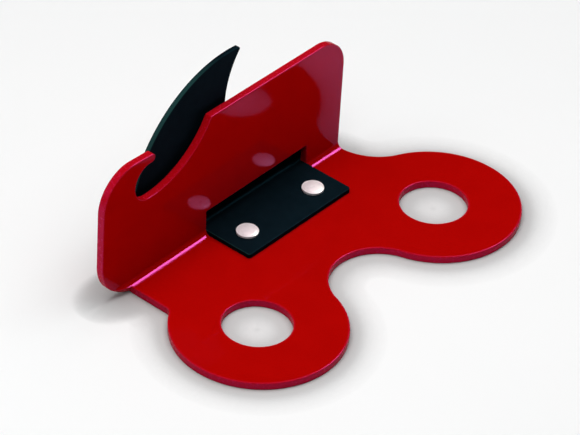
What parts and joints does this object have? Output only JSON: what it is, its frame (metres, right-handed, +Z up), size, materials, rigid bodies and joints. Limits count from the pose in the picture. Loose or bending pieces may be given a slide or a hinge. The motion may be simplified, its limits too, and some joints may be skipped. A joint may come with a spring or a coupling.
{
  "type": "rope clutch",
  "caption": "Bent steel plate with two round eyes and a hooked rope notch in its upright, and a curved horn riveted through a window behind it.",
  "frame": {"origin": "bottom centre of the bounding box, on the underside of the eye plate", "axes": "+X along the line of the eyes and the fold, +Y from the eyes to the upright, +Z up"},
  "size_m": [0.1654, 0.088, 0.0756],
  "materials": {
    "red_paint": "gloss",
    "black_coating": "satin",
    "rivet_metal": "satin"
  },
  "bodies": {
    "root": {"eye_plate": "red_paint", "horn": "black_coating", "rivet_left": "rivet_metal", "rivet_right": "rivet_metal"}
  },
  "joints": []
}
